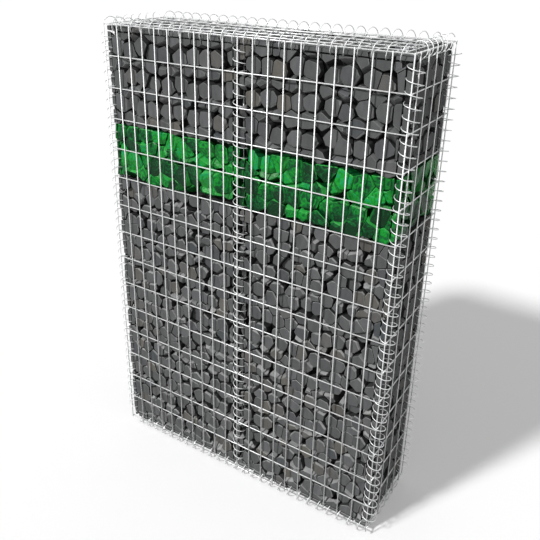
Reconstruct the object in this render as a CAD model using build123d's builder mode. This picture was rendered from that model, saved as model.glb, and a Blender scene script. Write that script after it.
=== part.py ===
# Gabion wall unit: a welded mesh basket laced with spiral binders and filled in layers.
# Millimetres, +Z up. The origin is on the ground, under the middle of the basket.
import os
from math import ceil, copysign, cos, floor, radians, sin

from build123d import *

os.makedirs("parts", exist_ok=True)

# Basket, from the plane of one panel to the plane of the panel opposite
length = 1010
depth = 300
height = 1495

# Welded mesh. The wires keep an even spacing across a panel, and the last one lies at its edge.
# The wires that cross the side, partition, lid and base panels reach to the front and back ones.
mesh_wire = 3.5
upright_spacing = 50
row_spacing = 100
narrow_cells = 4
edge_inset = 33
wire_end = 3
panel_clearance = 0.3

# Spiral binders: each makes a whole number of turns in every three cells of mesh
spiral_wire = 2.5
spiral_clearance = 0.3
sides_per_turn = 6
turns_per_3_rows = 10
turns_per_3_long_cells = 4
turns_per_3_narrow_cells = 5
edge_spiral_shift = 1.2

# Filling, by height above the base panel. Seen along the axis of a spiral, it lies at a bearing to
# one side of the inset edge wire, and one web a layer crosses the groove that the spiral runs in.
glass_bottom = 1000
glass_top = 1182
fill_clearance = 0.2
fill_bearing = 65
web_share_of_turn = 0.4

# Spiral cross-section, with flats against the two edge wires that it holds together
side_angle = 360 / sides_per_turn
held_width = edge_inset + 1.5 * mesh_wire
flat_radius = held_width / 2 + spiral_clearance + spiral_wire / 2
corner_radius = flat_radius / cos(radians(side_angle / 2))
spiral_reach = (flat_radius + spiral_wire / 2) / cos(radians(side_angle / 2))
spiral_inset = (edge_inset - mesh_wire / 2) / 2

# Groove for a spiral in the filling
groove_room = spiral_wire / 2 + fill_clearance
groove_outside = corner_radius + groove_room / cos(radians(side_angle / 2))
groove_inside = corner_radius - groove_room / cos(radians(side_angle / 2))

# Room that a panel's inner wires take up, to the filling
panel_room = mesh_wire + fill_clearance

# Levels of the base and lid panels above the ground, with the base spirals on the ground
base_level = spiral_reach
lid_level = base_level + height

# Lines of wire across the panels
half_length = length / 2
half_depth = depth / 2
long_cells = round(length / upright_spacing)
inner_uprights = [upright_spacing * (i - long_cells / 2) for i in range(1, long_cells)]
inner_rows = [row_spacing * i for i in range(1, round(height / row_spacing))]
uprights = [-half_length, *inner_uprights, half_length]
rows = [0, *inner_rows, height]
narrow_spacing = (depth - 2 * edge_inset) / narrow_cells
narrow_wires = [narrow_spacing * (i - narrow_cells / 2) for i in range(narrow_cells + 1)]
cross_wires = [edge_inset - half_length, *inner_uprights, half_length - edge_inset]
narrow_end_reach = edge_inset - mesh_wire - panel_clearance
middle_upright = uprights[len(uprights) // 2]
middle_wire = narrow_wires[len(narrow_wires) // 2]

# Where the spirals run: along the edges and up the partition, clear of one another where they meet
front = spiral_inset - half_depth
side = half_length - spiral_inset
end_room = spiral_wire / 2 + spiral_clearance
upright_ends = (spiral_reach + end_room, height - spiral_reach - end_room)
long_end = half_length - mesh_wire - end_room
narrow_end = half_depth - spiral_inset - spiral_reach - end_room
upright_pitch = 3 * row_spacing / turns_per_3_rows
long_pitch = 3 * upright_spacing / turns_per_3_long_cells
narrow_pitch = 3 * narrow_spacing / turns_per_3_narrow_cells

# The partition ends clear of the base and lid spirals, with its end rows at the same place in a
# turn of its own spirals as the other rows
row_step = upright_pitch / 3
partition_end = spiral_reach + end_room + wire_end
lowest_row = ceil(partition_end / row_step) * row_step
highest_row = floor((height - partition_end) / row_step) * row_step
partition_rows = [lowest_row, *inner_rows, highest_row]


def half_turn(plane):
    """The plane turned half round about the middle of the basket."""
    return Plane(
        plane.origin.rotate(Axis.Z, 180),
        x_dir=plane.x_dir.rotate(Axis.Z, 180),
        z_dir=plane.z_dir.rotate(Axis.Z, 180),
    )


spiral_runs = {}
for name, x in (("left_corner", -half_length), ("partition", 0), ("right_corner", half_length)):
    axis = Plane((x, front, base_level), x_dir=(0, 1, 0), z_dir=(0, 0, 1))
    spiral_runs[f"front_{name}_spiral"] = (axis, upright_pitch, *upright_ends)
for name, level, shift in (
    ("base", base_level, edge_spiral_shift),
    ("lid", lid_level, -edge_spiral_shift),
):
    start = middle_upright + shift
    axis = Plane((start, front, level), x_dir=(0, 1, 0), z_dir=(1, 0, 0))
    spiral_runs[f"front_{name}_spiral"] = (axis, long_pitch, -long_end - start, long_end - start)
    start = middle_wire + shift
    axis = Plane((side, start, level), x_dir=(-1, 0, 0), z_dir=(0, 1, 0))
    spiral_runs[f"right_{name}_spiral"] = (axis, narrow_pitch, -narrow_end - start, narrow_end - start)

# The other side of the basket is the same, turned half round
opposite = {"front": "back", "back": "front", "left": "right", "right": "left"}
for name, (axis, *run) in list(spiral_runs.items()):
    turned_name = "_".join(opposite.get(word, word) for word in name.split("_"))
    spiral_runs[turned_name] = (half_turn(axis), *run)


def bars(lines, span, turned, end=wire_end):
    """Parallel wires: one at each of the lines, running past the wires that they cross by an end."""
    middle = (span[0] + span[-1]) / 2
    reach = span[-1] - span[0] + 2 * end
    with BuildSketch(Plane.XY) as wires:
        for line in lines:
            with Locations((middle, line) if turned else (line, middle)):
                Rectangle(reach if turned else mesh_wire, mesh_wire if turned else reach)
    return wires.sketch


def mesh_panel(plane, outer, inner, inner_end=wire_end):
    """Outer wires run along the plane's y and inner wires along its x, welded where they cross."""
    with BuildPart() as panel:
        with BuildSketch(plane):
            add(bars(outer, inner, turned=False))
        extrude(amount=mesh_wire)
        with BuildSketch(plane):
            add(bars(inner, outer, turned=True, end=inner_end))
        extrude(amount=-mesh_wire)
    return panel


def spiral(plane, pitch, start, end):
    """Left-handed binder wire round the plane's z axis, its x pointing at the inset edge wire.

    The axis starts at a crossing wire. Every other side of the coil is then midway between the
    crossing wires, and these are the sides that pass through the two panels.
    """
    rise = pitch / sides_per_turn
    with BuildPart() as coil:
        for step in range(ceil(start / rise - 0.5), floor(end / rise - 0.5) + 1):
            angle = radians(side_angle * (0.5 - step))
            out = plane.x_dir * cos(angle) + plane.y_dir * sin(angle)
            corner = plane.origin + out * corner_radius + plane.z_dir * rise * (step + 0.5)
            with BuildSketch(Plane(corner, x_dir=out, z_dir=plane.z_dir.cross(out))):
                Rectangle(spiral_wire / cos(radians(side_angle / 2)), spiral_wire)
        loft(ruled=True)
    return coil


def groove_spans(middle, axis, pitch, start, end):
    """The two lengths of a spiral's groove in a layer of filling with that middle.

    The web between them is where the wire is on the other side of its axis.
    """
    to_middle = middle - axis.origin
    bearing = copysign(fill_bearing, to_middle.dot(axis.y_dir))
    first_web = pitch / sides_per_turn - pitch * (bearing + 180) / 360
    web = first_web + pitch * round((to_middle.dot(axis.z_dir) - first_web) / pitch)
    half_web = pitch * web_share_of_turn / 2
    return (start - groove_room, web - half_web), (web + half_web, end + groove_room)


def fill(x_from, x_to, z_from, z_to):
    """A layer of filling in one bay, right up to the panels, grooved where the spirals run."""
    middle = Vector((x_from + x_to) / 2, 0, (z_from + z_to) / 2)
    with BuildPart() as layer:
        with BuildSketch(Plane.XY.offset(z_from)):
            with Locations((middle.X, 0)):
                Rectangle(x_to - x_from, depth - 2 * panel_room)
        extrude(amount=z_to - z_from)
        for run in spiral_runs.values():
            for low, high in groove_spans(middle, *run):
                with BuildSketch(run[0].offset(low)):
                    RegularPolygon(groove_outside, sides_per_turn, rotation=side_angle / 2)
                    RegularPolygon(
                        groove_inside, sides_per_turn, rotation=side_angle / 2, mode=Mode.SUBTRACT)
                extrude(amount=high - low, mode=Mode.SUBTRACT)
    return layer


# Welded panels
pieces = {}
pieces["front_panel"] = mesh_panel(
    Plane((0, -half_depth, base_level), x_dir=(1, 0, 0), z_dir=(0, -1, 0)), uprights, rows)
pieces["back_panel"] = mesh_panel(
    Plane((0, half_depth, base_level), x_dir=(-1, 0, 0), z_dir=(0, 1, 0)), uprights, rows)
pieces["left_side_panel"] = mesh_panel(
    Plane((-half_length, 0, base_level), x_dir=(0, -1, 0), z_dir=(-1, 0, 0)),
    narrow_wires,
    rows,
    narrow_end_reach,
)
pieces["right_side_panel"] = mesh_panel(
    Plane((half_length, 0, base_level), x_dir=(0, 1, 0), z_dir=(1, 0, 0)),
    narrow_wires,
    rows,
    narrow_end_reach,
)
pieces["partition_panel"] = mesh_panel(
    Plane((0, 0, base_level), x_dir=(0, -1, 0), z_dir=(-1, 0, 0)),
    narrow_wires,
    partition_rows,
    narrow_end_reach,
)
pieces["lid_panel"] = mesh_panel(
    Plane((0, 0, lid_level), x_dir=(0, 1, 0), z_dir=(0, 0, 1)),
    narrow_wires,
    cross_wires,
    narrow_end_reach,
)
pieces["base_panel"] = mesh_panel(
    Plane((0, 0, base_level), x_dir=(0, -1, 0), z_dir=(0, 0, -1)),
    narrow_wires,
    cross_wires,
    narrow_end_reach,
)

# Spiral binders
for name, run in spiral_runs.items():
    pieces[name] = spiral(*run)

# Layers of filling on each side of the partition
bay_end = half_length - panel_room
layers = {
    "lower_stone": (panel_room, glass_bottom),
    "glass": (glass_bottom, glass_top),
    "upper_stone": (glass_top, height - panel_room),
}
for name, (bottom, top) in layers.items():
    levels = (base_level + bottom, base_level + top)
    pieces[f"{name}_fill_left"] = fill(-bay_end, -panel_room, *levels)
    pieces[f"{name}_fill_right"] = fill(panel_room, bay_end, *levels)

for name, piece in pieces.items():
    piece.part.label = name
    export_step(piece.part, f"parts/{name}.step")
    print(name, len(piece.part.solids()), piece.part.is_valid)
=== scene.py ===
import random
from itertools import product
from math import ceil, cos, floor, pi, radians, sin

import bmesh
import bpy
from mathutils import Matrix, Vector


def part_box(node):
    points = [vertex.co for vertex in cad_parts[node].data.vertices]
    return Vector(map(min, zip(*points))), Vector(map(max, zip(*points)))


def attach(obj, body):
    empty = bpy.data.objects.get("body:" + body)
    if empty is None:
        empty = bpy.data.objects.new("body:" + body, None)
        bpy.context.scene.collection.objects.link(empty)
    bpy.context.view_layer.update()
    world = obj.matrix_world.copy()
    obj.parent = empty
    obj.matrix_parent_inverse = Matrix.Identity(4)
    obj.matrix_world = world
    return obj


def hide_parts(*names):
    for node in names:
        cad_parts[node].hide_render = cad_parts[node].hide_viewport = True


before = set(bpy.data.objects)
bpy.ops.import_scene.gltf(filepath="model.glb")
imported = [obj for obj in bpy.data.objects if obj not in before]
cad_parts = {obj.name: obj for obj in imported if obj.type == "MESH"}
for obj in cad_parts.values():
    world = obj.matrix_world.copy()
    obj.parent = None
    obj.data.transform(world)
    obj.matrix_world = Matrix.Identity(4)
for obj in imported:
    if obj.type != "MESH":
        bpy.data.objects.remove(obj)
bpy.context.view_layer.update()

# the unit stands with its length along X, its front towards -Y and its height along Z
axisX, axisY, axisZ = Vector((1, 0, 0)), Vector((0, 1, 0)), Vector((0, 0, 1))


# helpers for colours, materials and pieces

def linearColour(hexCode):
    # sRGB hex to the linear colour that shaders take
    parts = [int(hexCode[i:i + 2], 16) / 255 for i in (1, 3, 5)]
    return [c / 12.92 if c <= .04045 else ((c + .055) / 1.055) ** 2.4 for c in parts] + [1]


def addNode(tree, kind, values=None, links=None, stops=(), **settings):
    # values set input sockets, links join other nodes' outputs to them, settings set the node
    # itself, and stops are the (place, hex) pairs of a colour ramp from left to right
    node = tree.nodes.new(kind)
    for key, value in settings.items():
        setattr(node, key, value)
    for socket, value in (values or {}).items():
        node.inputs[socket].default_value = value
    for socket, output in (links or {}).items():
        tree.links.new(output, node.inputs[socket])
    if stops:
        elements = node.color_ramp.elements
        while len(elements) < len(stops):
            elements.new(1)
        for element, (place, hexCode) in zip(elements, stops):
            element.position, element.color = place, linearColour(hexCode)
    return node


def newMaterial(name):
    material = bpy.data.materials.new(name)
    material.use_nodes = True
    material.node_tree.nodes.clear()
    return material, material.node_tree


def pieceName(node):
    # front_panel becomes frontPanel
    first, *others = node.split("_")
    return first + "".join(other.title() for other in others)


def finishPiece(bm, name, material, slotName, *nodes):
    # the mesh becomes a piece that rides on the unit and stands for its CAD nodes
    bmesh.ops.recalc_face_normals(bm, faces=bm.faces)
    mesh = bpy.data.meshes.new(name)
    bm.to_mesh(mesh)
    bm.free()
    mesh.materials.append(material)
    piece = bpy.data.objects.new(name, mesh)
    bpy.context.scene.collection.objects.link(piece)
    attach(piece, "root")
    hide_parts(*nodes)
    print(f"{name}: {len(mesh.polygons)} faces")
    return piece


zincValues = {
    # metal is the bare share of the zinc, and the rest is the pale skin that it weathers to
    "mesh": {"fresh": "#FAFAFA", "dull": "#E8EAEB", "metal": .4},
    "spiral": {"fresh": "#F6F7F7", "dull": "#E2E4E5", "metal": .45},
    "mottle": 9,               # mm across one patch of the coating
    "patches": (.35, .62),     # where in the mottle it is dull, and where fresh
    "roughness": (.54, .34),   # dull, fresh
}


def zincMaterial(name, kind):
    # steel wire, hot-dip galvanised: the zinc sets as a bright pale metal with a fine dull mottle
    material, tree = newMaterial(name)
    place = addNode(tree, "ShaderNodeTexCoord")
    patches = addNode(tree, "ShaderNodeTexNoise",
                      {"Scale": 1000 / zincValues["mottle"], "Detail": 3},
                      {"Vector": place.outputs["Object"]})
    tones = zip(zincValues["patches"], (zincValues[kind]["dull"], zincValues[kind]["fresh"]))
    colour = addNode(tree, "ShaderNodeValToRGB", links={"Fac": patches.outputs["Fac"]},
                     stops=list(tones))
    shine = addNode(tree, "ShaderNodeMapRange",
                    {"To Min": zincValues["roughness"][0], "To Max": zincValues["roughness"][1]},
                    {"Value": patches.outputs["Fac"]})
    shader = addNode(tree, "ShaderNodeBsdfPrincipled", {"Metallic": zincValues[kind]["metal"]},
                     {"Base Color": colour.outputs["Color"], "Roughness": shine.outputs["Result"]})
    addNode(tree, "ShaderNodeOutputMaterial", links={"Surface": shader.outputs["BSDF"]})
    return material


noiseRange = (.3, .7)  # most of a noise pattern lies between these

basaltValues = {
    "tones": [(0, "#434749"), (.03, "#4C4D4F"), (.2, "#4F5050"), (.85, "#5D5E5F"),
              (.96, "#595753"), (1, "#615E58")],
    # pale of the broken edges, partly a painted highlight
    "chipAndHighlight": "#9A9B9A",
    # painted shade on the sides between the stones
    "creviceShade": "#0B0C0C",
    "grain": 1.6,               # mm, coarser than the real crystals, so that they show
    "speck": (.88, 1.12),       # darkest and lightest crystals, times the stone's tone
    "streaks": 14,              # mm, the weathered streaks across a face
    "streak": (.84, 1.16),      # the same for the streaks
    "streakTurn": (.5, .4, .6),  # radians, so that they run along no edge of the unit
    "streakScale": (1, 1, .35),  # the small one draws them out
    "streakBump": (.5, .0008),  # strength and height
    "grainBump": (.35, .0003),
    "roughness": .82,
}


def edgeTones(tree, colour, chipAndLightColour, gapShadeColour):
    # the edge attribute runs from -1, painted shade on the sides between the lumps, over 0 on their
    # faces to 1 on chips, pale partly of their own and partly as painted light; a mix node's
    # sockets 6 and 7 are its two colours, and its output 2 is the mixed one
    edge = addNode(tree, "ShaderNodeAttribute", attribute_name="edge")
    chipAndHighlight = addNode(tree, "ShaderNodeClamp", links={"Value": edge.outputs["Fac"]})
    lighter = addNode(tree, "ShaderNodeMix", {7: linearColour(chipAndLightColour)},
                      {0: chipAndHighlight.outputs["Result"], 6: colour}, data_type="RGBA")
    deep = addNode(tree, "ShaderNodeMath", {1: -1}, {0: edge.outputs["Fac"]},
                   operation="MULTIPLY", use_clamp=True)
    both = addNode(tree, "ShaderNodeMix", {7: linearColour(gapShadeColour)},
                   {0: deep.outputs["Value"], 6: lighter.outputs[2]}, data_type="RGBA")
    return both.outputs[2]


def basaltMaterial():
    # basalt from a crusher: it breaks into flat matt faces, dark grey and each stone its own tone,
    # with pale chips along their edges, palest on one side as a painted highlight, and painted
    # shade on the sides between the stones
    material, tree = newMaterial("brokenBasalt")
    place = addNode(tree, "ShaderNodeTexCoord")
    tone = addNode(tree, "ShaderNodeAttribute", attribute_name="tone")
    colour = addNode(tree, "ShaderNodeValToRGB", links={"Fac": tone.outputs["Fac"]},
                     stops=basaltValues["tones"])
    grain = addNode(tree, "ShaderNodeTexNoise",
                    {"Scale": 1000 / basaltValues["grain"], "Detail": 2, "Roughness": .6},
                    {"Vector": place.outputs["Object"]})
    turned = addNode(tree, "ShaderNodeMapping",
                     {"Rotation": basaltValues["streakTurn"],
                      "Scale": basaltValues["streakScale"]},
                     {"Vector": place.outputs["Object"]})
    streaks = addNode(tree, "ShaderNodeTexNoise",
                      {"Scale": 1000 / basaltValues["streaks"], "Detail": 4},
                      {"Vector": turned.outputs["Vector"]})
    light, speck = [
        addNode(tree, "ShaderNodeMapRange", {"From Min": noiseRange[0], "From Max": noiseRange[1],
                                             "To Min": darkest, "To Max": lightest},
                {"Value": pattern.outputs["Fac"]})
        for pattern, (darkest, lightest) in ((streaks, basaltValues["streak"]),
                                             (grain, basaltValues["speck"]))]
    both = addNode(tree, "ShaderNodeMath", operation="MULTIPLY",
                   links={0: light.outputs["Result"], 1: speck.outputs["Result"]})
    edged = edgeTones(tree, colour.outputs["Color"], basaltValues["chipAndHighlight"],
                      basaltValues["creviceShade"])
    worn = addNode(tree, "ShaderNodeVectorMath", links={0: edged, 1: both.outputs["Value"]},
                   operation="MULTIPLY")
    strength, height = basaltValues["streakBump"]
    bump = addNode(tree, "ShaderNodeBump", {"Strength": strength, "Distance": height},
                   {"Height": streaks.outputs["Fac"]})
    strength, height = basaltValues["grainBump"]
    fine = addNode(tree, "ShaderNodeBump", {"Strength": strength, "Distance": height},
                   {"Height": grain.outputs["Fac"], "Normal": bump.outputs["Normal"]})
    shader = addNode(tree, "ShaderNodeBsdfPrincipled", {"Roughness": basaltValues["roughness"]},
                     {"Base Color": worn.outputs["Vector"], "Normal": fine.outputs["Normal"]})
    addNode(tree, "ShaderNodeOutputMaterial", links={"Surface": shader.outputs["BSDF"]})
    return material


glassValues = {
    "tones": [(0, "#033518"), (.25, "#0A5A2C"), (.5, "#0C8030"), (.8, "#1CA832"), (1, "#18A060")],
    "lit": "#3BB04E",     # thin edges, where most light comes through
    # painted shade on the sides between the lumps
    "deep": "#0A3F1E",
    "clouds": 17,         # mm, the swirls of colour in the melt
    "swirl": 1.6,         # how far they are drawn out
    "drift": .42,         # how far they move a lump's tone
    "bump": (.6, .005),   # strength and height of the waves on a broken face
    "roughness": .3,
    "shine": .12,
    "transmission": .12,
    "dimHeight": .08,     # m, the lowest lumps lie in the dark this far up
    "dim": .5,            # how far that takes their tone down
}


def glassMaterial():
    # slag glass, broken out of a cold furnace: saturated green, glossy in waves where it broke,
    # painted paler at thin edges for the light coming through, with painted shade on the sides
    # between the lumps and towards the bottom
    material, tree = newMaterial("greenSlagGlass")
    place = addNode(tree, "ShaderNodeTexCoord")
    tone = addNode(tree, "ShaderNodeAttribute", attribute_name="tone")
    clouds = addNode(tree, "ShaderNodeTexNoise",
                     {"Scale": 1000 / glassValues["clouds"], "Detail": 3,
                      "Distortion": glassValues["swirl"]}, {"Vector": place.outputs["Object"]})
    drift = addNode(tree, "ShaderNodeMapRange",
                    {"From Min": noiseRange[0], "From Max": noiseRange[1],
                     "To Min": -glassValues["drift"], "To Max": glassValues["drift"]},
                    {"Value": clouds.outputs["Fac"]})
    mixed = addNode(tree, "ShaderNodeMath", operation="ADD",
                    links={0: tone.outputs["Fac"], 1: drift.outputs["Result"]})
    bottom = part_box("glass_fill_left")[0].z
    height = addNode(tree, "ShaderNodeSeparateXYZ", links={"Vector": place.outputs["Object"]})
    dim = addNode(tree, "ShaderNodeMapRange",
                  {"From Min": bottom, "From Max": bottom + glassValues["dimHeight"],
                   "To Min": -glassValues["dim"], "To Max": 0}, {"Value": height.outputs["Z"]})
    dimmed = addNode(tree, "ShaderNodeMath", operation="ADD", use_clamp=True,
                     links={0: mixed.outputs["Value"], 1: dim.outputs["Result"]})
    colour = addNode(tree, "ShaderNodeValToRGB", links={"Fac": dimmed.outputs["Value"]},
                     stops=glassValues["tones"])
    edged = edgeTones(tree, colour.outputs["Color"], glassValues["lit"], glassValues["deep"])
    strength, rise = glassValues["bump"]
    bump = addNode(tree, "ShaderNodeBump", {"Strength": strength, "Distance": rise},
                   {"Height": clouds.outputs["Fac"]})
    shader = addNode(tree, "ShaderNodeBsdfPrincipled",
                     {"Roughness": glassValues["roughness"], "IOR": 1.5,
                      "Specular IOR Level": glassValues["shine"],
                      "Transmission Weight": glassValues["transmission"]},
                     {"Base Color": edged, "Normal": bump.outputs["Normal"]})
    addNode(tree, "ShaderNodeOutputMaterial", links={"Surface": shader.outputs["BSDF"]})
    return material


shadedValues = {"basalt": "#070708", "glass": "#07351A", "roughness": .9}


def shadedMaterial(name, kind):
    # the same filling behind the outer lumps, in too little light to show any shape or gloss
    material, tree = newMaterial(name)
    shader = addNode(tree, "ShaderNodeBsdfPrincipled",
                     {"Base Color": linearColour(shadedValues[kind]),
                      "Roughness": shadedValues["roughness"]})
    addNode(tree, "ShaderNodeOutputMaterial", links={"Surface": shader.outputs["BSDF"]})
    return material


meshZinc = zincMaterial("galvanisedMeshWire", "mesh")
spiralZinc = zincMaterial("galvanisedSpiralWire", "spiral")
basalt = basaltMaterial()
slagGlass = glassMaterial()
shadedBasalt = shadedMaterial("shadedBasalt", "basalt")
shadedGlass = shadedMaterial("shadedGlass", "glass")
print("materials done")


# welded mesh panels: two layers of straight wires sunk a little into each other where they cross

panelValues = {
    "wire": .0035,
    "sides": 12,
    "weldDepth": .0004,  # how far crossing wires sink into each other
    "end": .003,         # past the last crossing wire
    "longEnd": .0292,    # on to the front and back panels
    "row": .1,           # between the rows
    "upright": .05,      # between the uprights of the front, and the cross wires of the lid
    "narrow": .0585,     # between the uprights of the sides, and the long wires of the lid
    "clear": .01,        # no other wire comes this near to the one at an edge
}


def wireLines(low, high, spacing, start):
    # a wire at each edge, and between them one at each whole spacing from start
    first = ceil((low + panelValues["clear"] - start) / spacing)
    last = floor((high - panelValues["clear"] - start) / spacing)
    return [low] + [start + spacing * i for i in range(first, last + 1)] + [high]


def addRod(bm, start, end, radius, sides):
    run = end - start
    turn = axisZ.rotation_difference(run).to_matrix().to_4x4()
    made = bmesh.ops.create_cone(bm, cap_ends=True, segments=sides, radius1=radius,
                                 radius2=radius, depth=run.length,
                                 matrix=Matrix.Translation((start + end) / 2) @ turn)
    for face in {face for vert in made["verts"] for face in vert.link_faces}:
        face.smooth = len(face.verts) == 4


def buildPanel(name, outerAxis, innerAxis, side, spacings, starts, innerEnd):
    # outer wires run along outerAxis, inner wires along innerAxis, and side is the outer side
    low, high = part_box(name)
    radius = panelValues["wire"] / 2
    normalAxis = 3 - outerAxis - innerAxis
    plane = (low[normalAxis] + high[normalAxis]) / 2
    offset = radius - panelValues["weldDepth"] / 2
    bm = bmesh.new()
    runs = (
        (outerAxis, innerAxis, plane + side * offset, innerEnd, spacings[0], starts[0]),
        (innerAxis, outerAxis, plane - side * offset, panelValues["end"], spacings[1], starts[1]),
    )
    for along, across, level, end, spacing, start in runs:
        for line in wireLines(low[across] + end, high[across] - end, spacing, start):
            first, last = Vector(low), Vector(high)
            for point in (first, last):
                point[across] = line
                point[normalAxis] = level
            addRod(bm, first, last, radius, panelValues["sides"])
    finishPiece(bm, pieceName(name), meshZinc, "mesh_wire", name)


baseLow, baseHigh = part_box("base_panel")
baseLevel = (baseLow.z + baseHigh.z) / 2  # the rows are counted from here
upright, row, narrow = [panelValues[key] for key in ("upright", "row", "narrow")]
for name, side in (("front_panel", -1), ("back_panel", 1)):
    buildPanel(name, 2, 0, side, (upright, row), (0, baseLevel), panelValues["end"])
for name, side in (("left_side_panel", -1), ("right_side_panel", 1), ("partition_panel", -1)):
    buildPanel(name, 2, 1, side, (narrow, row), (0, baseLevel), panelValues["longEnd"])
for name, side in (("lid_panel", 1), ("base_panel", -1)):
    buildPanel(name, 0, 1, side, (narrow, upright), (0, 0), panelValues["longEnd"])
print("mesh panels done")


# spiral binders: round left-handed coils that lace the panels together

spiralValues = {
    "wire": .0025,
    "coil": .0217,       # from the axis to the middle of the wire
    "sides": 8,
    "stepsPerTurn": 24,
    "uprightPitch": .030,
    "longPitch": .0375,
    "narrowPitch": .0351,
    "shift": .0012,      # the base and lid spirals start this far from a crossing wire
    "turned": 1 / 6,     # of a turn past its start, a coil points inward
    "merge": .00003,
}


def buildSpiral(name, run, inward, pitch, start):
    # a left-handed coil along run, counted from start
    low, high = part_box(name)
    radius = spiralValues["wire"] / 2
    steps = spiralValues["stepsPerTurn"]
    middle = (low + high) / 2
    centre = middle - run * middle.dot(run)
    across = run.cross(inward)
    ends = sorted((low.dot(run), high.dot(run)))

    def place(along):
        angle = -2 * pi * ((along - start) / pitch - spiralValues["turned"])
        return (centre + run * along
                + (inward * cos(angle) + across * sin(angle)) * spiralValues["coil"])

    def addCoil(bm, first, count):
        # a round section at first, spun through count steps of a turn
        little = pitch / 1000
        tangent = place(first + little) - place(first - little)
        turn = axisZ.rotation_difference(tangent).to_matrix().to_4x4()
        section = bmesh.ops.create_circle(bm, cap_ends=False, radius=radius,
                                          segments=spiralValues["sides"],
                                          matrix=Matrix.Translation(place(first)) @ turn)
        edges = {edge for vert in section["verts"] for edge in vert.link_edges}
        bmesh.ops.spin(bm, geom=section["verts"] + list(edges), cent=centre + run * first,
                       axis=run, dvec=run * (pitch / steps), angle=-2 * pi * count / steps,
                       steps=count, use_merge=False, use_duplicate=False)

    first, last = ends[0] + radius, ends[1] - radius
    turns, rest = divmod(round((last - first) / pitch * steps), steps)
    # one turn, repeated, and then what is left of a turn
    oneTurn = bmesh.new()
    addCoil(oneTurn, first, steps)
    scratch = bpy.data.meshes.new("scratch")
    oneTurn.to_mesh(scratch)
    oneTurn.free()
    bm = bmesh.new()
    for _ in range(turns):
        bm.from_mesh(scratch)
        scratch.transform(Matrix.Translation(run * pitch))
    bpy.data.meshes.remove(scratch)
    if rest:
        addCoil(bm, first + pitch * turns, rest)
    bmesh.ops.remove_doubles(bm, verts=bm.verts, dist=spiralValues["merge"])
    for face in bm.faces:
        face.smooth = True
    bmesh.ops.holes_fill(bm, edges=[edge for edge in bm.edges if edge.is_boundary],
                         sides=spiralValues["sides"])
    finishPiece(bm, pieceName(name), spiralZinc, "spiral_wire", name)


for side, inward in (("front", axisY), ("back", -axisY)):
    run = axisX * inward.y
    for name in ("left_corner", "partition", "right_corner"):
        buildSpiral(f"{side}_{name}_spiral", axisZ, inward, spiralValues["uprightPitch"], baseLevel)
    for name, shift in (("base", spiralValues["shift"]), ("lid", -spiralValues["shift"])):
        buildSpiral(f"{side}_{name}_spiral", run, inward, spiralValues["longPitch"], shift)
for side, inward in (("right", -axisX), ("left", axisX)):
    run = -axisY * inward.x
    for name, shift in (("base", spiralValues["shift"]), ("lid", -spiralValues["shift"])):
        buildSpiral(f"{side}_{name}_spiral", run, inward, spiralValues["narrowPitch"], shift)
print("spirals done")


# filling: broken stones and lumps of glass, packed against the mesh without touching it

layerValues = {
    # pitch is the room of a lump along X, Y and Z, and ends are the ends of the layer that show;
    # recess is how far faces lie inside the layer's sides, and the chipped side is where the chips
    # are most, and where they are painted palest as a painted highlight
    "lower_stone": {
        "piece": "lowerStones", "pitch": (.0405, .0425, .0415), "jitter": .55, "gap": .0018,
        "bevel": .0011, "tilt": .07, "recess": (.0005, .0045), "sunken": .1,
        "outline": (.94, 1.22), "chamfer": (.0012, .0038), "chipAndHighlightSide": (.6, 0, .75),
        "ends": [(2, -1)],
    },
    "upper_stone": {
        "piece": "upperStones", "pitch": (.0500, .0490, .0450), "jitter": .5, "gap": .0022,
        "bevel": .0013, "tilt": .06, "recess": (.0005, .0045), "sunken": .1,
        "outline": (.92, 1.18), "chamfer": (.002, .0052), "chipAndHighlightSide": (.6, 0, -.75),
        "ends": [(2, 1)],
    },
    "glass": {
        "piece": "glassLumps", "pitch": (.0480, .0490, .0455), "jitter": .75, "gap": .0006,
        "bevel": .0022, "tilt": .32, "recess": (.0005, .006), "sunken": 0,
        "outline": (1.2, 1.6), "chamfer": (.004, .012), "chipAndHighlightSide": (.5, 0, .6),
        "ends": [],
    },
}
packingValues = {
    "firstSeed": 7,
    "stagger": .22,           # of a lump's room, one way and the other from course to course
    "reach": 1.3,             # of its room, how far a lump may reach from its middle
    "gap": (.4, 1.7),         # times the layer's gap
    "leastCut": .0003,        # nothing thinner than this is cut off
    "sunken": (.007, .013),   # how far sunken lumps lie behind the others
    "pastPartition": .003,    # the two bays nearly meet between the wires of the partition
    "core": .0355,            # behind the outer lumps lies more of the same, out of the light
    "corners": ((.006, .006), (.014, .018)),  # and a little of it in each corner, from and to
}
# (axis, side) to the direction that it faces
outward = {(axis, side): Vector([side * (a == axis) for a in range(3)])
           for axis in range(3) for side in (-1, 1)}


def spiralAxes():
    # (point on the axis, direction, lowest, highest) for every spiral
    axes = []
    for name in sorted(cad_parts):
        if name.endswith("_spiral"):
            low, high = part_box(name)
            size = high - low
            run = (axisX, axisY, axisZ)[max(range(3), key=lambda i: size[i])]
            middle = (low + high) / 2
            axes.append((middle - run * middle.dot(run), run, low.dot(run), high.dot(run)))
    return axes


def cutAway(bm, point, normal):
    # takes off what lies beyond the plane and closes the cut with one flat face
    beyond = max(((vert.co - point).dot(normal) for vert in bm.verts), default=0)
    if beyond < packingValues["leastCut"]:
        return
    cut = bmesh.ops.bisect_plane(bm, geom=bm.verts[:] + bm.edges[:] + bm.faces[:], dist=1e-6,
                                 plane_co=point, plane_no=normal, clear_outer=True)
    edges = [part for part in cut["geom_cut"] if isinstance(part, bmesh.types.BMEdge)]
    if len(edges) > 2:
        bmesh.ops.contextual_create(bm, geom=edges)


def newBlock(low, high):
    block = bmesh.new()
    bmesh.ops.create_cube(block, size=1, matrix=Matrix.Translation((low + high) / 2)
                          @ Matrix.Diagonal((*(high - low), 1)))
    return block


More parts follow.
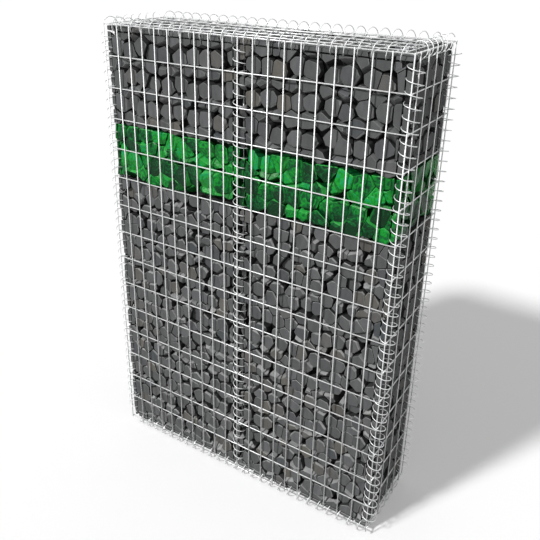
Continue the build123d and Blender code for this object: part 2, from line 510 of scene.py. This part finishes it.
outlineValues = {
    "sides": (6, 8),
    "uneven": .25,           # of the angle between two sides
    "lean": (2, 14),         # degrees that a side leans back
    "chamferLean": (38, 58),
    "chance": (.25, .6),     # of a chamfer on any side, and more of one on the chipped side
    "whole": .4,             # a side this much towards another face of the layer isn't broken
    "atEdges": 1.3,          # lumps at the edges of the unit have their corners less broken
}


def breakOutline(lump, spot, face, others, step, values, draw):
    # breaks the outline of the face to a rough polygon, some of its sides chamfered
    across, up = [axis for axis in range(3) if axis != face[0]]
    out = outward[face]
    sides = draw.randint(*outlineValues["sides"])
    uneven = outlineValues["uneven"]
    anyChance, moreChance = outlineValues["chance"]
    turn = draw.random() * 2 * pi
    for n in range(sides):
        angle = turn + 2 * pi * (n + draw.uniform(-uneven, uneven)) / sides
        toward = Vector((0, 0, 0))
        toward[across], toward[up] = cos(angle), sin(angle)
        # the lump's room is an ellipse as wide as its step
        wide = 2 * Vector((cos(angle) / step[across], sin(angle) / step[up])).length
        reach = draw.uniform(*values["outline"]) / wide
        reach *= 1 if len(others) == 1 else outlineValues["atEdges"]
        slope = radians(draw.uniform(*outlineValues["lean"]))
        chamfer = draw.uniform(*values["chamfer"])
        steep = radians(draw.uniform(*outlineValues["chamferLean"]))
        chance = anyChance + moreChance * toward.dot(Vector(values["chipAndHighlightSide"]))
        chipAndHighlight = draw.random() < chance
        if any(toward.dot(outward[other]) > outlineValues["whole"]
               for other in others if other != face):
            continue
        cutAway(lump, spot + toward * reach, toward * cos(slope) + out * sin(slope))
        if chipAndHighlight:
            cutAway(lump, spot + toward * (reach - chamfer), toward * cos(steep) + out * sin(steep))


coilValues = {
    "outside": .0233,   # the lumps beside a spiral keep this far from its axis
    "inside": .0196,    # and what lies in it stays within this
    "sides": 12,
}


def boxGap(bm, point, run):
    # how far the box round the mesh stays from a spiral's axis
    gaps = []
    for axis in range(3):
        if not run[axis]:
            reach = [vert.co[axis] for vert in bm.verts]
            gaps.append(max(min(reach) - point[axis], point[axis] - max(reach), 0))
    return (gaps[0] ** 2 + gaps[1] ** 2) ** .5


def partedBy(lump, coil, faces, low, high):
    # the parts of a lump beside a spiral and inside it, clear of its wire
    point, run, first, last = coil
    outside, inside = coilValues["outside"], coilValues["inside"]
    along = [vert.co.dot(run) for vert in lump.verts]
    if not along or max(along) < first or min(along) > last:
        return [lump]
    if boxGap(lump, point, run) > outside:
        return [lump]
    parts = []
    for face in faces:
        if run[face[0]]:
            continue
        out = outward[face]
        # where the circle of the spiral meets this side of the filling
        level = (low if face[1] < 0 else high)[face[0]]
        lift = (level - point[face[0]]) * face[1] / outside
        beside = run.cross(out)
        for way in (beside, -beside):
            away = way * (1 - lift * lift) ** .5 + out * lift
            part = lump.copy()
            cutAway(part, point + away * outside, -away)
            cutAway(lump, point + away * outside, away)
            parts.append(part)
    across = run.orthogonal().normalized()
    for turn in range(coilValues["sides"]):
        angle = 2 * pi * turn / coilValues["sides"]
        away = across * cos(angle) + run.cross(across) * sin(angle)
        cutAway(lump, point + away * inside, away)
    return parts + [lump]


lumpValues = {
    "thinnest": .0025,     # thinner splinters are left out
    "merge": .0018,        # corners closer than this become one
    "bevel": (.7, 1.3),    # times the layer's bevel
    "face": .93,           # the cosine to a side of the unit from which a facet is its face,
    "edge": .3,            # and from which it is one of its edges
    "chip": (.4, 1),       # how pale a chip is, partly as a painted highlight
    "chipLight": .5,       # a chip that faces neither way is this share of that, one turned to the chipped side more, as a painted highlight
    # painted shade on the sides between lumps
    "creviceShade": -.85,
}


def finishLump(lump, faces, values, tone, draw):
    # small bevels on every edge, then the tones of its faces: the pale of chips with painted
    # highlight, and painted shade on the sides between lumps
    size = [0]
    if len(lump.faces) > 3:
        corners = [vert.co for vert in lump.verts]
        size = [max(c[axis] for c in corners) - min(c[axis] for c in corners) for axis in range(3)]
    if min(size) < lumpValues["thinnest"]:
        lump.free()
        return None
    bmesh.ops.remove_doubles(lump, verts=lump.verts, dist=lumpValues["merge"])
    bmesh.ops.bevel(lump, geom=lump.edges[:], affect="EDGES", offset_type="OFFSET",
                    offset=values["bevel"] * draw.uniform(*lumpValues["bevel"]),
                    segments=1, profile=.5, material=-1, clamp_overlap=True)
    bmesh.ops.recalc_face_normals(lump, faces=lump.faces)
    toneLayer = lump.faces.layers.float.new("tone")
    edgeLayer = lump.faces.layers.float.new("edge")
    chipAndHighlightSide = Vector(values["chipAndHighlightSide"])
    for face in lump.faces:
        facing = max(face.normal.dot(outward[side]) for side in faces)
        face[toneLayer] = tone
        if facing > lumpValues["face"]:
            face[edgeLayer] = 0
        elif facing > lumpValues["edge"]:
            # chips and bevels: pale, and paler as they turn toward the chipped side, a painted
            # highlight
            share = max(0, min(1, lumpValues["chipLight"] + face.normal.dot(chipAndHighlightSide)))
            face[edgeLayer] = draw.uniform(*lumpValues["chip"]) * share
        else:
            # sides between lumps: painted shade
            face[edgeLayer] = lumpValues["creviceShade"]
    return lump


def buildLayer(layer, bay, seedNumber, material, coreMaterial, slotName):
    values = layerValues[layer]
    node = f"{layer}_fill_{bay}"
    low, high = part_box(node)
    draw = random.Random(seedNumber)
    size = high - low
    counts = [round(size[i] / values["pitch"][i]) for i in range(3)]
    step = Vector([size[i] / counts[i] for i in range(3)])
    partition = (0, 1 if bay == "left" else -1)
    seen = [(1, -1), (1, 1), (0, -partition[1])] + values["ends"]  # the sides that show
    lumpLow, lumpHigh = low.copy(), high.copy()
    (lumpHigh if bay == "left" else lumpLow).x += partition[1] * packingValues["pastPartition"]

    # every lump has a seed, with one more row of seeds around them
    seeds = {}
    for i, j, k in product(*(range(-1, count + 1) for count in counts)):
        stagger = packingValues["stagger"] * (1 if k % 2 else -1)
        spot = [i + .5 + stagger, j + .5 - stagger, k + .5]
        spot = [s + values["jitter"] * (draw.random() - .5) for s in spot]
        seeds[i, j, k] = low + Vector([spot[axis] * step[axis] for axis in range(3)])
    bm = bmesh.new()
    scratch = bpy.data.meshes.new("scratch")
    made = 0

    def keep(lump):
        lump.to_mesh(scratch)
        lump.free()
        bm.from_mesh(scratch)

    neighbours = [way for way in product((-1, 0, 1), repeat=3) if any(way)]
    neighbours.sort(key=lambda way: sum(abs(n) for n in way))
    reach = packingValues["reach"]
    for index, seed in seeds.items():
        if any(index[axis] < 0 or index[axis] >= counts[axis] for axis in range(3)):
            continue
        against = [(axis, side) for axis, side in seen + [partition]
                   if index[axis] == (0 if side < 0 else counts[axis] - 1)]
        faces = [face for face in against if face != partition]
        if not faces:
            continue
        lump = newBlock(
            Vector([max(lumpLow[axis], seed[axis] - reach * step[axis]) for axis in range(3)]),
            Vector([min(lumpHigh[axis], seed[axis] + reach * step[axis]) for axis in range(3)]))
        gap = values["gap"] * draw.uniform(*packingValues["gap"])
        # a plane halfway to each neighbour, less the gap
        for way in neighbours:
            if any(way[axis] == side for axis, side in against):
                continue
            between = seeds[tuple(a + b for a, b in zip(index, way))] - seed
            normal = between.normalized()
            cutAway(lump, seed + between / 2 - normal * gap / 2, normal)
        sunken = 0
        if draw.random() < values["sunken"] and len(faces) == 1:
            sunken = draw.uniform(*packingValues["sunken"])
        tilt = values["tilt"] / len(faces)
        for face in faces:
            axis, side = face
            normal = outward[face] + Vector([draw.uniform(-1, 1) * tilt for a in range(3)])
            recess = draw.uniform(*values["recess"]) + sunken
            spot = seed.copy()
            spot[axis] = (low if side < 0 else high)[axis] - side * recess
            cutAway(lump, spot, normal.normalized())
            breakOutline(lump, spot, face, faces, step, values, draw)
        parts = [lump]
        for coil in spiralPlaces:
            parts = [piece for part in parts for piece in partedBy(part, coil, faces, low, high)]
        tone = draw.random()
        for part in parts:
            part = finishLump(part, faces, values, tone, draw)
            if part:
                keep(part)
                made += 1

    coreLow, coreHigh = Vector(low), Vector(high)
    for axis, side in seen:
        (coreLow if side < 0 else coreHigh)[axis] -= side * packingValues["core"]
    blocks = [(coreLow, coreHigh)]
    endX = (low if partition[1] > 0 else high).x
    for side in (-1, 1):
        sideY = (low if side < 0 else high).y
        near, far = [Vector((endX + partition[1] * depthX, sideY - side * depthY, level))
                     for (depthX, depthY), level in zip(packingValues["corners"],
                                                        (coreLow.z, coreHigh.z))]
        blocks.append((near, far))
    for block in blocks:
        core = newBlock(*block)
        for face in core.faces:
            face.material_index = 1
        keep(core)
    bpy.data.meshes.remove(scratch)
    print(f"{node}: {made} lumps")
    piece = finishPiece(bm, values["piece"] + bay.title(), material, slotName, node)
    piece.data.materials.append(coreMaterial)


spiralPlaces = spiralAxes()
seedNumber = packingValues["firstSeed"]
for bay in ("left", "right"):
    for layer, material, coreMaterial, slotName in (
            ("lower_stone", basalt, shadedBasalt, "stone"),
            ("glass", slagGlass, shadedGlass, "glass"),
            ("upper_stone", basalt, shadedBasalt, "stone")):
        buildLayer(layer, bay, seedNumber, material, coreMaterial, slotName)
        seedNumber += 1
print("filling done")


# floor, light and camera

stageValues = {
    "floor": 80,               # m across, so that no edge shows
    "floorColour": "#EAEAEA",
    "floorBounce": "#787878",  # what the floor throws back on the unit
    "floorGlow": .2,           # lifts the lit floor to white where it is seen
    "skyLight": .34,
    "sunLight": 3.1,
    "sunDirection": (.313, .683, -.661),
    "sunSize": 6,              # degrees across, for the soft edge of the shadow
}


def seenDirectly(tree):
    # 1 where it is looked at, also through glass and in reflections, and 0 where it lights things
    path = addNode(tree, "ShaderNodeLightPath")
    direct = addNode(tree, "ShaderNodeMath", operation="MAXIMUM",
                     links={0: path.outputs["Is Camera Ray"],
                            1: path.outputs["Is Transmission Ray"]})
    either = addNode(tree, "ShaderNodeMath", operation="MAXIMUM",
                     links={0: direct.outputs["Value"], 1: path.outputs["Is Glossy Ray"]})
    return either.outputs["Value"]


def buildStage():
    # a floor of matt white paper, a white room and one soft lamp like the sun
    bm = bmesh.new()
    bmesh.ops.create_grid(bm, x_segments=1, y_segments=1, size=stageValues["floor"] / 2)
    mesh = bpy.data.meshes.new("floor")
    bm.to_mesh(mesh)
    bm.free()
    ground = bpy.data.objects.new("floor", mesh)
    bpy.context.scene.collection.objects.link(ground)
    material, tree = newMaterial("mattWhitePaper")
    path = addNode(tree, "ShaderNodeLightPath")
    colour = addNode(tree, "ShaderNodeMix", {6: linearColour(stageValues["floorColour"]),
                                             7: linearColour(stageValues["floorBounce"])},
                     {0: path.outputs["Is Diffuse Ray"]}, data_type="RGBA")
    plain = addNode(tree, "ShaderNodeBsdfDiffuse", links={"Color": colour.outputs[2]})
    strength = addNode(tree, "ShaderNodeMath", {1: stageValues["floorGlow"]},
                       {0: seenDirectly(tree)}, operation="MULTIPLY")
    glow = addNode(tree, "ShaderNodeEmission", links={"Strength": strength.outputs["Value"]})
    both = addNode(tree, "ShaderNodeAddShader",
                   links={0: plain.outputs["BSDF"], 1: glow.outputs["Emission"]})
    addNode(tree, "ShaderNodeOutputMaterial", links={"Surface": both.outputs["Shader"]})
    mesh.materials.append(material)

    world = bpy.data.worlds.new("studio")
    bpy.context.scene.world = world
    world.use_nodes = True
    tree = world.node_tree
    tree.nodes.clear()
    level = addNode(tree, "ShaderNodeMapRange", {"To Min": stageValues["skyLight"], "To Max": 1},
                    {"Value": seenDirectly(tree)})
    sky = addNode(tree, "ShaderNodeBackground", {"Color": (1, 1, 1, 1)},
                  {"Strength": level.outputs["Result"]})
    addNode(tree, "ShaderNodeOutputWorld", links={"Surface": sky.outputs["Background"]})

    sun = bpy.data.lights.new("key", "SUN")
    sun.energy = stageValues["sunLight"]
    sun.angle = radians(stageValues["sunSize"])
    lamp = bpy.data.objects.new("key", sun)
    bpy.context.scene.collection.objects.link(lamp)
    lamp.rotation_euler = Vector(stageValues["sunDirection"]).to_track_quat("-Z", "Y").to_euler()


cameraValues = {
    "place": (1.0578, -1.6550, 1.7383),
    "turn": (66.873, -.873, 33.197),  # degrees
    "lens": 43.76,                    # mm, on a film as wide as the next
    "film": 36,
    "shift": (.01589, -.07434),
}


def buildCamera():
    data = bpy.data.cameras.new("camera")
    data.lens = cameraValues["lens"]
    data.sensor_width = cameraValues["film"]
    data.shift_x, data.shift_y = cameraValues["shift"]
    camera = bpy.data.objects.new("camera", data)
    bpy.context.scene.collection.objects.link(camera)
    camera.location = cameraValues["place"]
    camera.rotation_euler = [radians(angle) for angle in cameraValues["turn"]]
    bpy.context.scene.camera = camera


buildStage()
buildCamera()
bpy.context.scene.view_settings.view_transform = "Standard"
print("stage done")
